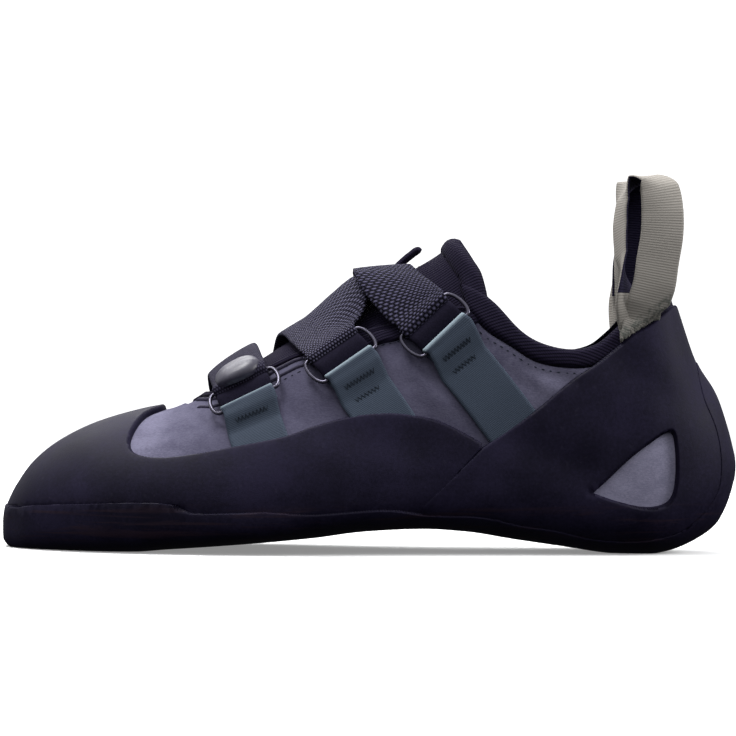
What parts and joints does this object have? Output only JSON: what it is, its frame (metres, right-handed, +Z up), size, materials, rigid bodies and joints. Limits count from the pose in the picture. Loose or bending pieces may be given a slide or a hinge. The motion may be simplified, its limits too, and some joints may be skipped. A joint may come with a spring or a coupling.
{
  "type": "climbing shoe",
  "caption": "Left climbing shoe with a curved rubber sole, toe and heel rands, strap closures over a knitted tongue, and pull loops at the heel.",
  "frame": {"origin": "middle of the shoe's box, on the floor that the sole stands on", "axes": "+X from toe to heel, +Y from the outer (lateral) side of the foot to the inner (medial) side, +Z up"},
  "size_m": [0.261, 0.0932, 0.1343],
  "materials": {
    "sole_rubber": "matte, scuffed",
    "rand_rubber": "matte, dusty",
    "suede": "fine nap",
    "board": "matte",
    "knit": "ribbed knit",
    "wire": "dark, satin",
    "tab_webbing": "fine rib",
    "strap_webbing": "woven",
    "loop_webbing": "coarse rib"
  },
  "bodies": {
    "root": {"outsole": "sole_rubber", "upper": "suede", "insole": "board", "toe_rand": "rand_rubber", "heel_rand": "rand_rubber", "collar_cuff": "knit", "tongue": "knit", "ring_front": "wire", "tab_front": "tab_webbing", "strap_front": "strap_webbing", "ring_middle": "wire", "tab_middle": "tab_webbing", "strap_middle": "strap_webbing", "ring_upper": "wire", "tab_upper": "tab_webbing", "strap_upper": "strap_webbing", "strap_end": "strap_webbing", "pull_loop_lateral": "loop_webbing", "pull_loop_medial": "loop_webbing"}
  },
  "joints": []
}
